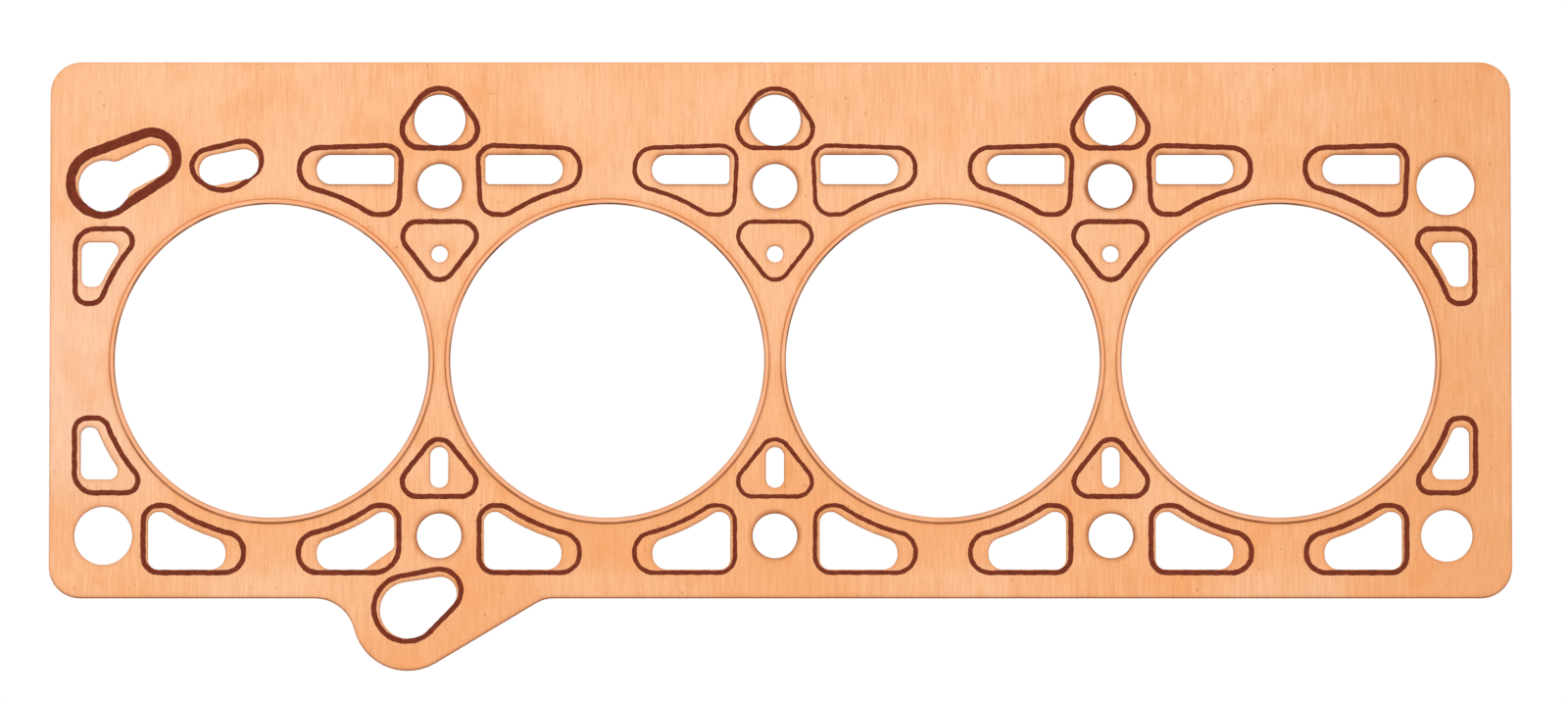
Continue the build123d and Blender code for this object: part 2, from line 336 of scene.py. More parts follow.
@dataclass(frozen=True)
class CopperSheetFinish:
    """Bare rolled copper, brushed across the engine and tinted beside its cut edges.

    Lengths are in millimetres, apart from the brush depth, which is in metres. A step whose name ends in
    square is of a squared distance.
    """

    column_pitch: float
    pale: Colour = srgb(255, 197, 153)
    warm: Colour = srgb(250, 177, 122)
    pink: Colour = srgb(255, 205, 170)
    amber: Colour = srgb(248, 160, 88)
    tint: Colour = srgb(175, 110, 75)
    # Colour of the painted shade along the rounded cut edges.
    cut: Colour = srgb(166, 94, 52)
    fleck: Colour = srgb(150, 84, 46)

    grain: Pattern = Pattern((2.0, 0.12, 0.0), detail=3.0, rough=0.6)
    streaks: Pattern = Pattern((0.8, 0.02, 0.0), layer=7.0, detail=3.0)
    speckle: Pattern = Pattern((1.3, 1.3, 0.0))
    clouds: Pattern = Pattern((0.03, 0.03, 0.0), detail=4.0, rough=0.6)
    blotches: Pattern = Pattern((0.085, 0.0595, 0.0), layer=1.7, detail=3.0)
    flecks: Pattern = Pattern((0.8, 0.56, 0.0), layer=2.4, detail=1.0)
    patches: Pattern = Pattern((0.16, 0.16, 0.0))

    base_warmth: float = 0.34
    cloud_warmth: float = 1.5
    streak_warmth: float = 0.5
    grain_warmth: float = 0.75
    warm_below: Step = Step(5.0, -60.0, 0.0, 0.28)
    warm_right: Step = Step(80.0, 203.0, 0.0, 0.33)
    middle_at: float = -15.0
    middle_below: Step = Step(-15.0, -32.0)
    middle_square: Step = Step(45.0**2, 85.0**2, 0.3, 0.0)
    lower_strip: Step = Step(-54.0, -61.0)
    lower_square: Step = Step(12.0**2, 36.0**2, 0.0, 0.42)
    upper_strip: Step = Step(48.0, 60.0)
    upper_square: Step = Step(15.0**2, 40.0**2, 0.15, 0.0)
    upper_ends_square: Step = Step(110.0**2, 150.0**2, 1.0, 0.0)

    pink_left: Step = Step(-140.0, -203.0)
    pink_square: Step = Step(0.0, 52.0**2, 0.85, 0.0)
    # Darker towards the right end.
    darker_right: Step = Step(120.0, 203.0, 1.0, 0.965)
    grain_shade: float = 0.18
    streak_shade: float = 0.08
    speckle_shade: float = 0.18

    blotched: Step = Step(0.52, 0.78, 0.0, 0.4)
    flecked: Step = Step(0.775, 0.81, 0.0, 0.5)
    patchy: Step = Step(0.35, 0.62, 0.5, 1.0)
    amber_reach: Step = Step(2.8, 0.0)
    amber_fall: float = 1.5
    tint_reach: Step = Step(1.8, 0.1, 0.0, 0.9)
    shade_line_reach: Step = Step(0.62, 0.12)

    roughness: float = 0.38
    grain_roughness: float = 0.25
    line_roughness: float = 0.1
    brush_strength: float = 0.08
    brush_depth: float = 0.02 * MM

    def warmth(self, graph: Graph, x: Wire, y: Wire) -> Wire:
        """How far the copper leans to its warm colour at a place.

        It is cloudy, warmer low down, to the right, below the middle and above the bolt columns, and
        paler along the lower edge between the columns.

        Args:
            graph: The material's tree.
            x: Place along the engine.
            y: Place across it.

        Returns:
            The lean, before the grain and the streaks.
        """
        from_middle = x - self.middle_at
        from_column = graph.wrap(x, -self.column_pitch / 2, self.column_pitch / 2)
        column_square = from_column * from_column
        lean = y.ramp(*self.warm_below) + x.ramp(*self.warm_right)
        middle = y.ramp(*self.middle_below) * (from_middle * from_middle).ramp(*self.middle_square)
        lower = y.ramp(*self.lower_strip) * column_square.ramp(*self.lower_square)
        upper = y.ramp(*self.upper_strip) * column_square.ramp(*self.upper_square)
        upper = upper * (x * x).ramp(*self.upper_ends_square)
        clouds = self.clouds.swing(graph, x, y) * self.cloud_warmth
        return self.base_warmth + lean + middle - lower + upper + clouds

    def material(self, name: str) -> bpy.types.Material:
        """Build the material.

        Args:
            name: The material's name.

        Returns:
            A metal with grain, clouds, tinted cut edges darkened by painted shade and a few flecks.
        """
        graph = Graph.material(name)
        x, y, _ = graph.place()
        edge = graph.mark("edge")
        grain = self.grain.swing(graph, x, y)
        streaks = self.streaks.swing(graph, x, y)
        speckle = self.speckle.swing(graph, x, y)
        warmth = self.warmth(graph, x, y) + streaks * self.streak_warmth + grain * self.grain_warmth
        colour = graph.mix(warmth.ramp(0.0, 1.0), self.pale, self.warm)
        colour = graph.mix(x.ramp(*self.pink_left) * (y * y).ramp(*self.pink_square), colour, self.pink)
        colour = graph.mix(self.blotches.value(graph, x, y).ramp(*self.blotched), colour, self.amber)
        light = 1.0 - grain * self.grain_shade - streaks * self.streak_shade + speckle * self.speckle_shade
        colour = graph.scaled(colour, light * x.ramp(*self.darker_right))
        colour = graph.mix(self.flecks.value(graph, x, y).ramp(*self.flecked), colour, self.fleck)
        patchy = self.patches.value(graph, x, y).ramp(*self.patchy)
        warmed = edge.ramp(*self.amber_reach) ** self.amber_fall * graph.mark("warmed")
        colour = graph.mix(warmed * patchy, colour, self.amber)
        colour = graph.mix(edge.ramp(*self.tint_reach) * graph.mark("tint") * patchy, colour, self.tint)
        # Painted shade: a dark line along the rounded rims, its strength set by the cut and by the side
        # the copper lies on.
        line = edge.ramp(*self.shade_line_reach) * graph.mark("line")
        colour = graph.mix(line, colour, self.cut)
        rough = self.roughness + grain * self.grain_roughness + line * self.line_roughness
        brushed = {"Strength": self.brush_strength, "Distance": self.brush_depth, "Height": grain}
        sockets = {
            "Base Color": colour,
            "Metallic": 1.0,
            "Roughness": rough,
            "Specular Tint": self.tint,
            "Normal": graph.node("Bump", sockets=brushed),
        }
        return graph.finish(graph.node("BsdfPrincipled", sockets=sockets))


@dataclass(frozen=True)
class RingFinish:
    """Turned copper with fine lines around the bore, with painted shade at its foot and along its lip.

    Lengths are in millimetres. Steps whose names end in up are of a place around the bore, from -1
    straight below its middle to 1 straight above it.
    """

    pitch: float
    inner: float
    seat: float
    pale: Colour = srgb(255, 194, 154)
    warm: Colour = srgb(250, 178, 130)
    seam: Colour = srgb(240, 140, 64)
    # Painted shade that darkens the seam on the lower arcs.
    foot_shade: Colour = srgb(156, 72, 22)
    # Colour of the painted shade along the lip.
    lip: Colour = srgb(100, 54, 30)

    lines: Pattern = Pattern((5.0, 5.0, 0.0))
    clouds: Pattern = Pattern((0.08, 0.08, 0.0), detail=3.0)
    # Patches that vary the seam and the painted shade at the foot and lip.
    wear_and_shade: Pattern = Pattern((0.1, 0.1, 0.0), layer=0.4)
    line_share: float = 0.4
    blended: Step = Step(0.35, 0.65)
    worn_and_shaded: Step = Step(0.3, 0.7, 0.5, 1.0)
    foot_reach: Step = Step(-0.55, -0.1)
    foot_shade_up: Step = Step(0.4, -0.8)
    brink: float = 0.1
    brink_up: Step = Step(0.3, 0.9, 0.5, 0.9)
    lip_reach: Step = Step(0.55, 0.2)
    lip_up: Step = Step(-0.9, 0.9, 0.4, 1.1)
    roughness: float = 0.3
    line_roughness: float = 0.12

    def material(self, name: str) -> bpy.types.Material:
        """Build the material.

        Args:
            name: The material's name.

        Returns:
            A metal with lines around each bore, with painted shade at its foot and along its lip on
            opposite sides.
        """
        graph = Graph.material(name)
        x, y, z = graph.place()
        local = graph.wrap(x, 0.0, self.pitch) - self.pitch / 2
        radius = (local * local + y * y) ** 0.5
        up = y / radius
        lines = self.lines.value(graph, radius, z)
        clouds = self.clouds.value(graph, x, y)
        blend = clouds * (1 - self.line_share) + lines * self.line_share
        colour = graph.mix(blend.ramp(*self.blended), self.pale, self.warm)
        worn_and_shaded = self.wear_and_shade.value(graph, x, y).ramp(*self.worn_and_shaded)
        # The seam at the foot is orange, darkened by painted shade on the lower arcs.
        foot = (radius - self.seat).ramp(*self.foot_reach) * worn_and_shaded
        colour = graph.mix(foot, colour, graph.mix(up.ramp(*self.foot_shade_up), self.seam, self.foot_shade))
        # Painted shade along the lip, strongest on the upper arcs.
        inside = radius - self.inner
        lip = inside.ramp(*self.lip_reach) * inside.ramp(0.0, self.brink, up.ramp(*self.brink_up))
        colour = graph.mix(lip * worn_and_shaded * up.ramp(*self.lip_up), colour, self.lip)
        sockets = {
            "Base Color": colour,
            "Metallic": 1.0,
            "Roughness": self.roughness + lines * self.line_roughness,
            "Specular Tint": self.seam,
        }
        return graph.finish(graph.node("BsdfPrincipled", sockets=sockets))


@dataclass(frozen=True)
class BeadFinish:
    """Satin red-brown elastomer, screen printed, with a fine skin."""

    body: Colour = srgb(140, 57, 30)
    dark: Colour = srgb(124, 46, 22)
    mottle: Pattern = Pattern((0.6, 0.6, 0.6), detail=3.0, rough=0.6)
    mottled: Step = Step(0.35, 0.65)
    skin: Pattern = Pattern((4.0, 4.0, 4.0))
    skin_roughness: float = 0.2
    skin_strength: float = 0.3
    skin_depth: float = 0.03 * MM
    roughness: float = 0.45
    gloss: float = 0.14

    def material(self, name: str) -> bpy.types.Material:
        """Build the material.

        Args:
            name: The material's name.

        Returns:
            A satin rubber with a mottled colour.
        """
        graph = Graph.material(name)
        place = graph.place()
        skin = self.skin.swing(graph, *place)
        mottled = self.mottle.value(graph, *place).ramp(*self.mottled)
        grained = {"Strength": self.skin_strength, "Distance": self.skin_depth, "Height": skin}
        sockets = {
            "Base Color": graph.mix(mottled, self.body, self.dark),
            "Roughness": self.roughness + skin * self.skin_roughness,
            "Specular IOR Level": self.gloss,
            "Normal": graph.node("Bump", sockets=grained),
        }
        return graph.finish(graph.node("BsdfPrincipled", sockets=sockets))


@dataclass
class Outline:
    """A closed line in plan, in metres, with material on its left."""

    points: np.ndarray

    @property
    def ends(self) -> np.ndarray:
        """The point after each point."""
        return np.roll(self.points, -1, axis=0)

    @property
    def area(self) -> float:
        """Area inside it, positive where it runs counter-clockwise."""
        start, end = self.points, self.ends
        return float((start[:, 0] * end[:, 1] - start[:, 1] * end[:, 0]).sum() / 2)

    @property
    def length(self) -> float:
        """Length of the line."""
        return float(np.linalg.norm(self.ends - self.points, axis=1).sum())

    @property
    def middle(self) -> np.ndarray:
        """Middle of its box."""
        return (self.points.min(axis=0) + self.points.max(axis=0)) / 2

    def radii(self) -> np.ndarray:
        """Distance of each point from the middle."""
        return np.linalg.norm(self.points - self.middle, axis=1)

    def inward(self) -> np.ndarray:
        """Offset directions to the left, with mitred corners.

        The unit vector between the two edge normals at a point is divided by the cosine of half its turn.

        Returns:
            One vector for each point; adding d times it moves every edge by d.
        """
        step = self.ends - self.points
        step /= np.linalg.norm(step, axis=1, keepdims=True)
        normal = np.stack([-step[:, 1], step[:, 0]], axis=1)
        mean = normal + np.roll(normal, 1, axis=0)
        return 2 * mean / (mean**2).sum(axis=1, keepdims=True)

    def evenly(self, count: int) -> np.ndarray:
        """Points at even steps along the line.

        Args:
            count: How many points are wanted.

        Returns:
            That many plan points.
        """
        closed = np.vstack([self.points, self.points[:1]])
        run = np.concatenate([[0.0], np.cumsum(np.linalg.norm(np.diff(closed, axis=0), axis=1))])
        at = np.arange(count) * run[-1] / count
        return np.stack([np.interp(at, run, closed[:, axis]) for axis in range(2)], axis=1)

    def divided(self, step: float) -> "Outline":
        """The same line with its long straight runs divided.

        Args:
            step: The longest run that stays whole.

        Returns:
            A new line through the same points and more.
        """
        reach = self.ends - self.points
        parts = np.ceil(np.linalg.norm(reach, axis=1) / step).astype(int)
        place = np.arange(parts.sum()) - np.repeat(np.cumsum(parts) - parts, parts)
        share = (place / np.repeat(parts, parts))[:, None]
        return Outline(np.repeat(self.points, parts, axis=0) + np.repeat(reach, parts, axis=0) * share)

    def circle(self, step: float) -> "Outline":
        """The true circle through its points, taken the same way round.

        Args:
            step: About how far apart its points lie.

        Returns:
            A new line with a multiple of four points.
        """
        radius = self.radii().max()
        count = 4 * math.ceil(2 * math.pi * radius / step / 4)
        turn = np.sign(self.area) * np.linspace(0, 2 * math.pi, count, endpoint=False)
        return Outline(self.middle + radius * np.stack([np.cos(turn), np.sin(turn)], axis=1))


def node_surface(name: str) -> tuple[np.ndarray, np.ndarray]:
    """A CAD node's points and triangles, with its loose triangles joined.

    Args:
        name: The node's name.

    Returns:
        Points in metres, and triangles as rows of point numbers.
    """
    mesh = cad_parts[name].data
    points = np.empty(len(mesh.vertices) * 3)
    mesh.vertices.foreach_get("co", points)
    points = points.reshape(-1, 3)
    mesh.calc_loop_triangles()
    corners = np.empty(len(mesh.loop_triangles) * 3, int)
    mesh.loop_triangles.foreach_get("vertices", corners)
    keys = np.round(points / JOIN).astype(np.int64)
    _, first, same = np.unique(keys, axis=0, return_index=True, return_inverse=True)
    return points[first], same.reshape(-1)[corners].reshape(-1, 3)


def face_outlines(name: str, face: Face) -> list[Outline]:
    """Outlines of a node's flat outer face.

    An edge of one triangle only is on an outline; each is followed to the next until the line closes.

    Args:
        name: The node's name.
        face: Which of its two flat faces.

    Returns:
        The outer outlines counter-clockwise and those of holes clockwise.
    """
    points, triangles = node_surface(name)
    level = (points[:, 2] * face.value).max()
    flat = triangles[(points[triangles][:, :, 2] * face.value > level - FLAT).all(axis=1)]
    if face is Face.BLOCK:
        flat = flat[:, ::-1]
    edges = flat[:, [0, 1, 1, 2, 2, 0]].reshape(-1, 2)
    forward = edges[:, 0] * len(points) + edges[:, 1]
    backward = edges[:, 1] * len(points) + edges[:, 0]
    follows = dict(edges[~np.isin(forward, backward)].tolist())
    outlines = []
    while follows:
        start, here = follows.popitem()
        chain = [start]
        while here != start:
            chain.append(here)
            here = follows.pop(here)
        outlines.append(Outline(points[chain, :2]))
    return outlines


def covered(points: np.ndarray, start: np.ndarray, end: np.ndarray) -> np.ndarray:
    """Which points lie in the material: a line to their left crosses an odd number of edges.

    Args:
        points: Plan points.
        start: Start of each edge.
        end: End of each edge.

    Returns:
        One truth for each point.
    """
    run = end - start
    slope = run[:, 0] / np.where(run[:, 1] == 0, 1, run[:, 1])
    found = []
    for part in np.array_split(points, len(points) // CHUNK + 1):
        x, y = part[:, :1], part[:, 1:]
        spans = (start[:, 1] > y) != (end[:, 1] > y)
        found.append((spans & (start[:, 0] + (y - start[:, 1]) * slope < x)).sum(axis=1) % 2 == 1)
    return np.concatenate(found)


def nearest(points: np.ndarray, start: np.ndarray, end: np.ndarray) -> tuple[np.ndarray, np.ndarray]:
    """The edge nearest to each point.

    Args:
        points: Plan points.
        start: Start of each edge.
        end: End of each edge.

    Returns:
        The number of that edge, and the vector from it to the point.
    """
    run = end - start
    numbers, ways = [], []
    for part in np.array_split(points, len(points) // CHUNK + 1):
        to = part[:, None] - start
        along = np.clip((to * run).sum(-1) / (run**2).sum(-1), 0, 1)
        away = to - along[..., None] * run
        pick = (away**2).sum(-1).argmin(axis=1)
        numbers.append(pick)
        ways.append(away[np.arange(len(part)), pick])
    return np.concatenate(numbers), np.concatenate(ways)


def grid_faces(around: int, across: int, first: int = 0, closed: bool = False) -> np.ndarray:
    """Faces of a grid of points that closes along its path.

    Args:
        around: Points along the path.
        across: Points of the profile.
        first: Number of the grid's first point.
        closed: Whether the profile closes too.

    Returns:
        Four point numbers for each face.
    """
    i = np.arange(around)[:, None]
    j = np.arange(across if closed else across - 1)[None, :]
    ahead, beside = (i + 1) % around, (j + 1) % across
    corners = [i * across + j, ahead * across + j, ahead * across + beside, i * across + beside]
    return first + np.stack(np.broadcast_arrays(*corners), axis=-1).reshape(-1, 4)


def make_piece(
    name: str,
    points: np.ndarray,
    faces: list[list[int]],
    material: bpy.types.Material,
    marks: Optional[dict[str, np.ndarray]] = None,
) -> bpy.types.Object:
    """Turn arrays into a smooth mesh object.

    Args:
        name: The object's name.
        points: Points in metres.
        faces: Point numbers of each face.
        material: Its one material.
        marks: Values for each point, by name.

    Returns:
        The object, linked to the scene at the origin.
    """
    mesh = bpy.data.meshes.new(name)
    mesh.from_pydata(points.tolist(), [], faces)
    for key, values in (marks or {}).items():
        mesh.attributes.new(key, "FLOAT", "POINT").data.foreach_set("value", values.astype(np.float32))
    mesh.materials.append(material)
    mesh.polygons.foreach_set("use_smooth", np.ones(len(mesh.polygons), bool))
    mesh.update()
    piece = bpy.data.objects.new(name, mesh)
    bpy.context.scene.collection.objects.link(piece)
    return piece


def settle(piece: bpy.types.Object, node: str) -> bpy.types.Object:
    """Hang a piece on the gasket's one body, in place of its CAD node.

    Args:
        piece: The piece.
        node: The CAD node that it stands for.

    Returns:
        The piece.
    """
    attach(piece, "root")
    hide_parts(node)
    log.info("%s: %d faces", piece.name, len(piece.data.polygons))
    return piece


@dataclass
class CopperSheet:
    """The stamped sheet: flat faces, and a rounded rim along its outline and every opening."""

    finish: CopperSheetFinish
    node: str = "copper_sheet"
    rim_round: float = 0.06 * MM
    rim_steps: int = 4
    insets: tuple[float, ...] = (1.2 * MM, 0.7 * MM, 0.4 * MM, 0.2 * MM)
    lattice: float = 1.7 * MM
    round_step: float = 0.9 * MM
    round_slack: float = 0.02 * MM
    bore_least: float = 40.0 * MM
    bolt_range: tuple[float, float] = (5.0 * MM, 6.7 * MM)
    upper_row: tuple[float, float] = (40.0 * MM, 62.0 * MM)
    upper_from: float = -130.0 * MM
    scorched: tuple[float, float] = (93.0 * MM, 48.5 * MM)
    fill_slack: float = 1e-7

    def outlines(self) -> list[Outline]:
        """The face's outlines, with round holes as true circles and long runs divided.

        Returns:
            The edge and every opening, with the copper on their left.
        """
        found = face_outlines(self.node, Face.HEAD)
        is_round = [np.ptp(outline.radii()) < self.round_slack for outline in found]
        return [
            outline.circle(self.round_step) if whole else outline.divided(2 * self.lattice)
            for outline, whole in zip(found, is_round)
        ]

    def cut(self, outline: Outline) -> Cut:
        """What an outline is cut for, by its size and place.

        Args:
            outline: One of the sheet's outlines.

        Returns:
            The kind of cut.
        """
        if outline.area > 0:
            return Cut.EDGE
        reach = outline.radii().max()
        if reach > self.bore_least:
            return Cut.BORE
        low, high = self.bolt_range
        if low < reach < high and np.ptp(outline.radii()) < self.round_slack:
            return Cut.SCORCHED if np.allclose(outline.middle, self.scorched, atol=MM) else Cut.BOLT
        low, high = self.upper_row
        if outline.middle[1] > high:
            return Cut.DRAIN
        is_upper = low < outline.middle[1] < high and outline.middle[0] > self.upper_from
        return Cut.UPPER if is_upper else Cut.OTHER

    def marks(self, cut: Cut, up: np.ndarray, gap: np.ndarray) -> dict[str, np.ndarray]:
        """What the finish is told about points beside an outline.

        Args:
            cut: What the outline is cut for.
            up: How far the copper lies above the outline there, from -1 to 1.
            gap: Distance from the outline, in metres.

        Returns:
            Distance in millimetres, and the strengths of the cut's dark line of painted shade and of its
            two tints.
        """
        line, tint, warmed = (np.interp(up, (-1, 0, 1), strengths) for strengths in cut.value)
        return {"edge": gap / MM, "line": line, "tint": tint, "warmed": warmed}

    def profile(self, bottom: float, top: float) -> np.ndarray:
        """Inset and height along the rim: out over the top, round the edge, down the wall and in below.

        Args:
            bottom: Height of the lower face.
            top: Height of the upper face.

        Returns:
            Rows of inset and height.
        """
        turn = np.linspace(math.pi / 2, 0, self.rim_steps + 1)
        curve = np.stack([1 - np.cos(turn), np.sin(turn) - 1], axis=1) * self.rim_round + [0, top]
        flat = np.stack([np.array(self.insets), np.full(len(self.insets), top)], axis=1)
        upper = np.concatenate([flat, curve])
        return np.concatenate([upper, upper[::-1] * [1, -1] + [0, top + bottom]])

    def build(self) -> bpy.types.Object:
        """Build the sheet.

        The rims are one profile carried along each outline. The faces between are Delaunay triangles
        of the rims' inner points and of a staggered lattice.

        Returns:
            The sheet, in place of its CAD node.
        """
        low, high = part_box(self.node)
        outlines = self.outlines()
        cuts = [self.cut(outline) for outline in outlines]
        profile = self.profile(low.z, high.z)
        across = len(profile)
        sizes = np.array([len(outline.points) for outline in outlines])
        firsts = across * (np.cumsum(sizes) - sizes)
        points, marks, faces = [], [], []
        for outline, cut, first in zip(outlines, cuts, firsts):
            way = outline.inward()
            plan = outline.points[:, None] + profile[None, :, :1] * way[:, None]
            height = np.broadcast_to(profile[None, :, 1:], (*plan.shape[:2], 1))
            points.append(np.concatenate([plan, height], axis=-1).reshape(-1, 3))
            up = np.repeat(way[:, 1] / np.linalg.norm(way, axis=1), across)
            marks.append(self.marks(cut, up, np.tile(profile[:, 0], len(way))))
            faces.append(grid_faces(len(way), across, first)[:, ::-1])
        rim_top = np.arange(sizes.sum()) * across
        rim_plan = np.concatenate(points)[rim_top, :2]
        ahead = np.concatenate([f // across + np.roll(np.arange(n), -1) for f, n in zip(firsts, sizes)])
        spread, near_marks = self.spread(outlines, cuts)
        triangles = self.fill(np.concatenate([rim_plan, spread]), ahead)
        base = across * sizes.sum()
        above = np.concatenate([rim_top, base + np.arange(len(spread))])
        below = np.concatenate([rim_top + across - 1, base + len(spread) + np.arange(len(spread))])
        points += [np.insert(spread, 2, level, axis=1) for level in (high.z, low.z)]
        marks += [near_marks, near_marks]
        every = [above[triangles], below[triangles[:, ::-1]]]
        piece = make_piece(
            "copper_sheet_face",
            np.concatenate(points),
            np.concatenate(faces).tolist() + np.concatenate(every).tolist(),
            self.finish.material("brushed_copper"),
            {key: np.concatenate([row[key] for row in marks]) for key in near_marks},
        )
        return settle(piece, self.node)

    def spread(
        self, outlines: list[Outline], cuts: list[Cut]
    ) -> tuple[np.ndarray, dict[str, np.ndarray]]:
        """Points of a staggered lattice over the copper, clear of its rims.

        Args:
            outlines: The sheet's outlines.
            cuts: What each is cut for.

        Returns:
            The points, and what the finish is told about them.
        """
        start = np.concatenate([outline.points for outline in outlines])
        end = np.concatenate([outline.ends for outline in outlines])
        owner = np.repeat(np.arange(len(outlines)), [len(outline.points) for outline in outlines])
        rows = np.arange(start[:, 1].min(), start[:, 1].max(), self.lattice * math.sqrt(3) / 2)
        columns = np.arange(start[:, 0].min(), start[:, 0].max(), self.lattice)
        grid = np.stack(np.meshgrid(columns, rows), axis=-1)
        grid[1::2, :, 0] += self.lattice / 2
        grid = grid.reshape(-1, 2)
        grid = grid[covered(grid, start, end)]
        number, away = nearest(grid, start, end)
        gap = np.linalg.norm(away, axis=1)
        clear = gap > self.insets[0] + self.lattice / 2
        grid, gap, up = grid[clear], gap[clear], away[clear, 1] / gap[clear]
        rows_of = [self.marks(cut, up, gap) for cut in cuts]
        choice = owner[number[clear]]
        keys = rows_of[0].keys()
        pick = np.arange(len(grid))
        return grid, {key: np.stack([row[key] for row in rows_of])[choice, pick] for key in keys}

    def fill(self, plan: np.ndarray, ahead: np.ndarray) -> np.ndarray:
        """Triangles between the outlines.

        Args:
            plan: Plan points, outline points first.
            ahead: The point that follows each outline point.

        Returns:
            Counter-clockwise triangles that lie in the copper.
        """
        bounds = np.stack([np.arange(len(ahead)), ahead], axis=1)
        _, _, found, _, _, _ = delaunay_2d_cdt(
            (plan / MM).tolist(), bounds.tolist(), [], 0, self.fill_slack
        )
        triangles = np.array(found)
        return triangles[covered(plan[triangles].mean(axis=1), plan[bounds[:, 0]], plan[bounds[:, 1]])]


@dataclass(frozen=True)
class BoreSizes:
    """What the rings' CAD nodes say of the bores, in metres."""

    pitch: float
    inner: float
    outer: float
    clearance: float = 0.05 * MM

    @classmethod
    def read(cls, nodes: list[str]) -> "BoreSizes":
        """Take the sizes from the nodes.

        Args:
            nodes: The rings' nodes, from left to right.

        Returns:
            The pitch of the first two, and the least and greatest radius of the first.
        """
        low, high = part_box(nodes[0])
        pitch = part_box(nodes[1])[0].x - low.x
        least = Outline(node_surface(nodes[0])[0][:, :2]).radii().min()
        return cls(pitch, float(least), (high.x - low.x) / 2)

    @property
    def seat(self) -> float:
        """Radius of the sheet's seat around a ring."""
        return self.outer + self.clearance


@dataclass
class CombustionRing:
    """A copper ring pressed out into its seat: a rounded section turned about the bore's axis."""

    node: str
    bore: BoreSizes
    material: bpy.types.Material
    inner_round: float = 0.26 * MM
    outer_round: float = 0.17 * MM
    round_steps: int = 6
    around: int = 288

    def section(self, radius: float, bottom: float, top: float) -> np.ndarray:
        """The closed section: a rectangle with four rounded corners.

        Args:
            radius: Radius of the seat.
            bottom: Its lowest height.
            top: Its highest height.

        Returns:
            Rows of radius and height, counter-clockwise.
        """
        inner = self.bore.inner
        rounds = np.array([self.outer_round, self.outer_round, self.inner_round, self.inner_round])
        corners = np.array([[radius, bottom], [radius, top], [inner, top], [inner, bottom]])
        centres = corners + rounds[:, None] * [[-1, 1], [-1, -1], [1, -1], [1, 1]]
        begin = np.array([-90, 0, 90, 180])[:, None]
        turn = np.radians(begin + np.linspace(0, 90, self.round_steps + 1))
        curves = np.stack([np.cos(turn), np.sin(turn)], axis=-1) * rounds[:, None, None]
        return (centres[:, None] + curves).reshape(-1, 2)

    def build(self) -> bpy.types.Object:
        """Turn the section about the bore's axis.

        Returns:
            The ring, in place of its CAD node.
        """
        low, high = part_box(self.node)
        section = self.section((high.x - low.x) / 2 + self.bore.clearance, low.z, high.z)
        turn = np.linspace(0, 2 * math.pi, self.around, endpoint=False)[:, None]
        x = (low.x + high.x) / 2 + section[:, 0] * np.cos(turn)
        y = (low.y + high.y) / 2 + section[:, 0] * np.sin(turn)
        points = np.stack([x, y, np.broadcast_to(section[:, 1], x.shape)], axis=-1).reshape(-1, 3)
        faces = grid_faces(self.around, len(section), closed=True).tolist()
        piece = make_piece(f"{self.node}_turned", points, faces, self.material)
        return settle(piece, self.node)


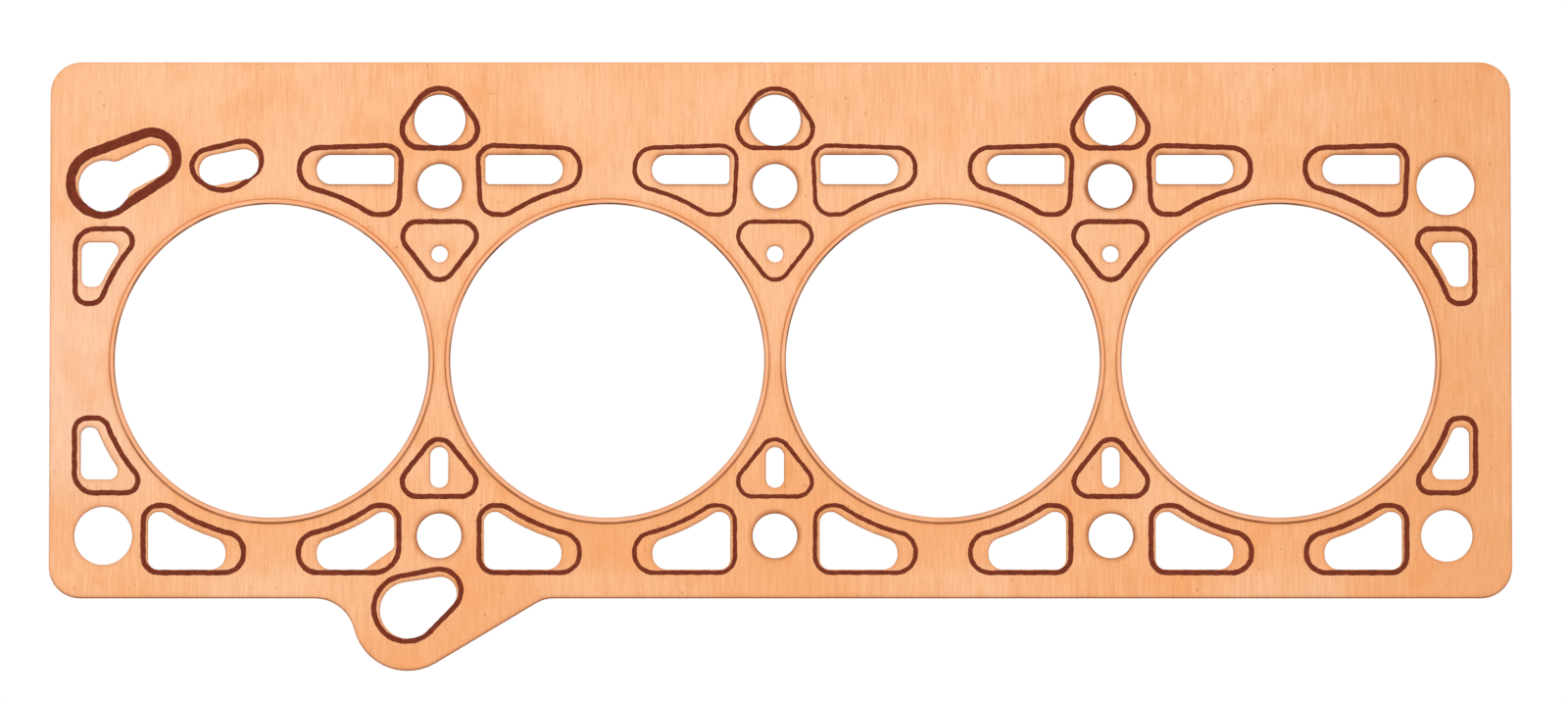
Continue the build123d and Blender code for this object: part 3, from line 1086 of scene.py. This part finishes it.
@dataclass
class BeadPrint:
    """The printed beads of one CAD node: a low dome carried along each bead, with ragged edges."""

    node: str
    material: bpy.types.Material
    step: float = 0.3 * MM
    across: int = 11
    shoulder: float = 2.6
    ragged: float = 0.045 * MM
    waves: tuple[tuple[float, float], ...] = ((7.0 * MM, 1.0), (3.1 * MM, 0.8), (1.3 * MM, 0.6))
    slim: float = 0.9
    full: float = 1.1
    full_at: float = 120.0 * MM
    drain_stroke: float = 1.1
    drift_waves: int = 3
    drift_reach: float = 1.5
    seed_step: int = 100

    @property
    def face(self) -> Face:
        """The face that the beads are printed on."""
        return Face.BLOCK if self.node.startswith("block_") else Face.HEAD

    @property
    def stroke(self) -> float:
        """Share of the usual width: the drains' beads are printed fuller."""
        return self.drain_stroke if "drain" in self.node else 1.0

    def pairs(self) -> list[tuple[Outline, Outline]]:
        """Each bead's outer outline, with the hole whose middle is nearest to its own.

        Returns:
            An outer and an inner outline for each bead.
        """
        outlines = face_outlines(self.node, self.face)
        holes = [outline for outline in outlines if outline.area < 0]
        middles = np.array([hole.middle for hole in holes])
        outer = [outline for outline in outlines if outline.area > 0]
        nearest_hole = [np.linalg.norm(middles - outline.middle, axis=1).argmin() for outline in outer]
        return [(outline, holes[number]) for outline, number in zip(outer, nearest_hole)]

    def wobble(self, count: int, length: float, seed: int) -> np.ndarray:
        """Ragged edge offsets: a sum of sines with whole numbers of waves, so that they close.

        Args:
            count: Points along the bead.
            length: The bead's length.
            seed: Start of the random phases.

        Returns:
            One offset in metres for each point.
        """
        wave, share = np.array(self.waves).T[:, :, None]
        shift, drift = np.random.default_rng(seed).uniform(0, 2 * math.pi, (2, len(wave), 1))
        along = np.linspace(0, 2 * math.pi, count, endpoint=False)
        wander = self.drift_reach * np.sin(self.drift_waves * along + drift)
        swing = np.round(length / wave) * along + shift + wander
        return self.ragged * (share * np.sin(swing)).sum(axis=0)

    def swell(self, x: np.ndarray) -> np.ndarray:
        """Share of the nominal width at a place along the engine: the print is slim in the middle."""
        reach = np.clip(np.abs(x) / self.full_at, 0, 1)
        return self.stroke * (self.slim + (self.full - self.slim) * reach**2 * (3 - 2 * reach))

    def build(self) -> bpy.types.Object:
        """Carry the dome along every bead of the node.

        Across a bead the height follows a superellipse from edge to edge, and a flat foot closes it.

        Returns:
            The beads, in place of the CAD node.
        """
        low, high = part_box(self.node)
        foot, crown = (low.z, high.z) if self.face is Face.HEAD else (high.z, low.z)
        share = (1 - np.cos(np.linspace(0, math.pi, self.across))) / 2
        dome = (1 - np.abs(2 * share - 1) ** self.shoulder) ** (1 / self.shoulder)
        height = foot + (crown - foot) * dome
        points, faces, first = [], [], 0
        for number, (outer, inner) in enumerate(self.pairs()):
            count = int(outer.length / self.step)
            left = outer.evenly(count)
            _, away = nearest(left, inner.points, inner.ends)
            width = np.linalg.norm(away, axis=1)
            over = -away / width[:, None]
            grow = width * (self.swell(left[:, 0]) - 1) / 2
            seed = sum(map(ord, self.node)) + self.seed_step * number
            right = left - away + over * (grow - self.wobble(count, outer.length, seed + 1))[:, None]
            left = left - over * (grow - self.wobble(count, outer.length, seed))[:, None]
            plan = left[:, None] + share[None, :, None] * (right - left)[:, None]
            rise = np.broadcast_to(height[None, :, None], (*plan.shape[:2], 1))
            points.append(np.concatenate([plan, rise], axis=-1).reshape(-1, 3))
            quads = grid_faces(count, self.across, first, closed=True)
            faces.append(quads if self.face is Face.HEAD else quads[:, ::-1])
            first += count * self.across
        every = np.concatenate(faces).tolist()
        piece = make_piece(f"{self.node}_print", np.concatenate(points), every, self.material)
        return settle(piece, self.node)


@dataclass
class Studio:
    """White floor, soft sky that is brightest behind the gasket, and a camera almost straight above."""

    photo_scale: float = 3.6806 / MM
    photo_origin: tuple[float, float] = (790.8, 368.2)
    distance: float = 2.6
    tilt: float = 3.0
    sensor: float = 36.0
    far: float = 50.0
    floor_half: float = 3.0
    floor_gap: float = 0.02 * MM
    floor_colour: Colour = (0.9, 0.9, 0.9, 1.0)
    floor_glow: float = 0.95
    glow_level: float = 1.03
    sky_high: float = 1.2
    sky_low: float = 0.45
    sky_lean: float = 0.45
    sky_span: tuple[float, float] = (-0.1, 1.0)
    lamp_power: float = 0.8
    lamp_size: float = 1.4
    lamp_place: tuple[float, float, float] = (-0.25, 0.55, 1.6)
    lamp_turn: tuple[float, float, float] = (-0.33, -0.16, 0.0)

    def camera(self) -> None:
        """Place the camera so that the photograph's width covers the same stretch of the gasket."""
        wide, tall = PHOTO_SIZE
        off_x, off_y = (wide / 2 - self.photo_origin[0], self.photo_origin[1] - tall / 2)
        data = bpy.data.cameras.new("camera")
        data.sensor_width = self.sensor
        data.lens = self.sensor * self.distance * self.photo_scale / wide
        data.clip_end = self.far
        camera = bpy.data.objects.new("camera", data)
        lean = math.radians(self.tilt)
        y = off_y / self.photo_scale - self.distance * math.sin(lean)
        camera.location = (off_x / self.photo_scale, y, self.distance * math.cos(lean))
        camera.rotation_euler = (lean, 0.0, 0.0)
        bpy.context.scene.collection.objects.link(camera)
        bpy.context.scene.camera = camera

    def floor(self) -> None:
        """Lay a floor that cameras and mirrors see almost plain white, just below the gasket."""
        plan = self.floor_half * np.array([[-1, -1], [1, -1], [1, 1], [-1, 1]])
        corners = np.insert(plan, 2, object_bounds()[0].z - self.floor_gap, axis=1)
        graph = Graph.material("white_floor")
        rays = ("Is Camera Ray", "Is Glossy Ray", "Is Transmission Ray")
        camera, glossy, through = (graph.node("LightPath", result=ray) for ray in rays)
        glow = graph.node("Emission", sockets={"Strength": self.glow_level})
        matt = graph.node("BsdfDiffuse", sockets={"Color": self.floor_colour})
        share = (camera + glossy + through) * self.floor_glow
        shader = graph.node("MixShader", sockets={0: share, 1: matt, 2: glow})
        make_piece("floor", corners, [[0, 1, 2, 3]], graph.finish(shader))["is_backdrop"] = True

    def light(self) -> None:
        """Light the scene with a sky that is dark low in front, and one large lamp overhead."""
        graph = Graph.world("sky")
        _, y, z = graph.split(graph.node("TexCoord", result="Generated"))
        level = (z + y * self.sky_lean).ramp(*self.sky_span, self.sky_low, self.sky_high)
        camera = graph.node("LightPath", result="Is Camera Ray")
        strength = level + camera * (1.0 - level)
        bpy.context.scene.world = graph.finish(graph.node("Background", sockets={"Strength": strength}))
        data = bpy.data.lights.new("overhead", "AREA")
        data.size = self.lamp_size
        data.energy = self.lamp_power
        lamp = bpy.data.objects.new("overhead", data)
        lamp.location = self.lamp_place
        lamp.rotation_euler = self.lamp_turn
        bpy.context.scene.collection.objects.link(lamp)


def main() -> None:
    """Set the studio and build the gasket's pieces."""
    logging.basicConfig(level=logging.INFO, format="%(name)s: %(message)s")
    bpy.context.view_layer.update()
    bpy.context.scene.view_settings.view_transform = "Standard"
    studio = Studio()
    studio.camera()
    studio.light()
    studio.floor()
    nodes = sorted(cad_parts)
    bore = BoreSizes.read([node for node in nodes if node.startswith("combustion_ring")])
    CopperSheet(CopperSheetFinish(bore.pitch / MM)).build()
    ring_finish = RingFinish(bore.pitch / MM, bore.inner / MM, bore.seat / MM)
    turned = ring_finish.material("turned_copper")
    printed = BeadFinish().material("printed_elastomer")
    for node in nodes:
        if node.startswith("combustion_ring"):
            CombustionRing(node, bore, turned).build()
        elif "_bead" in node:
            BeadPrint(node, printed).build()


if __name__ == "__main__":
    main()
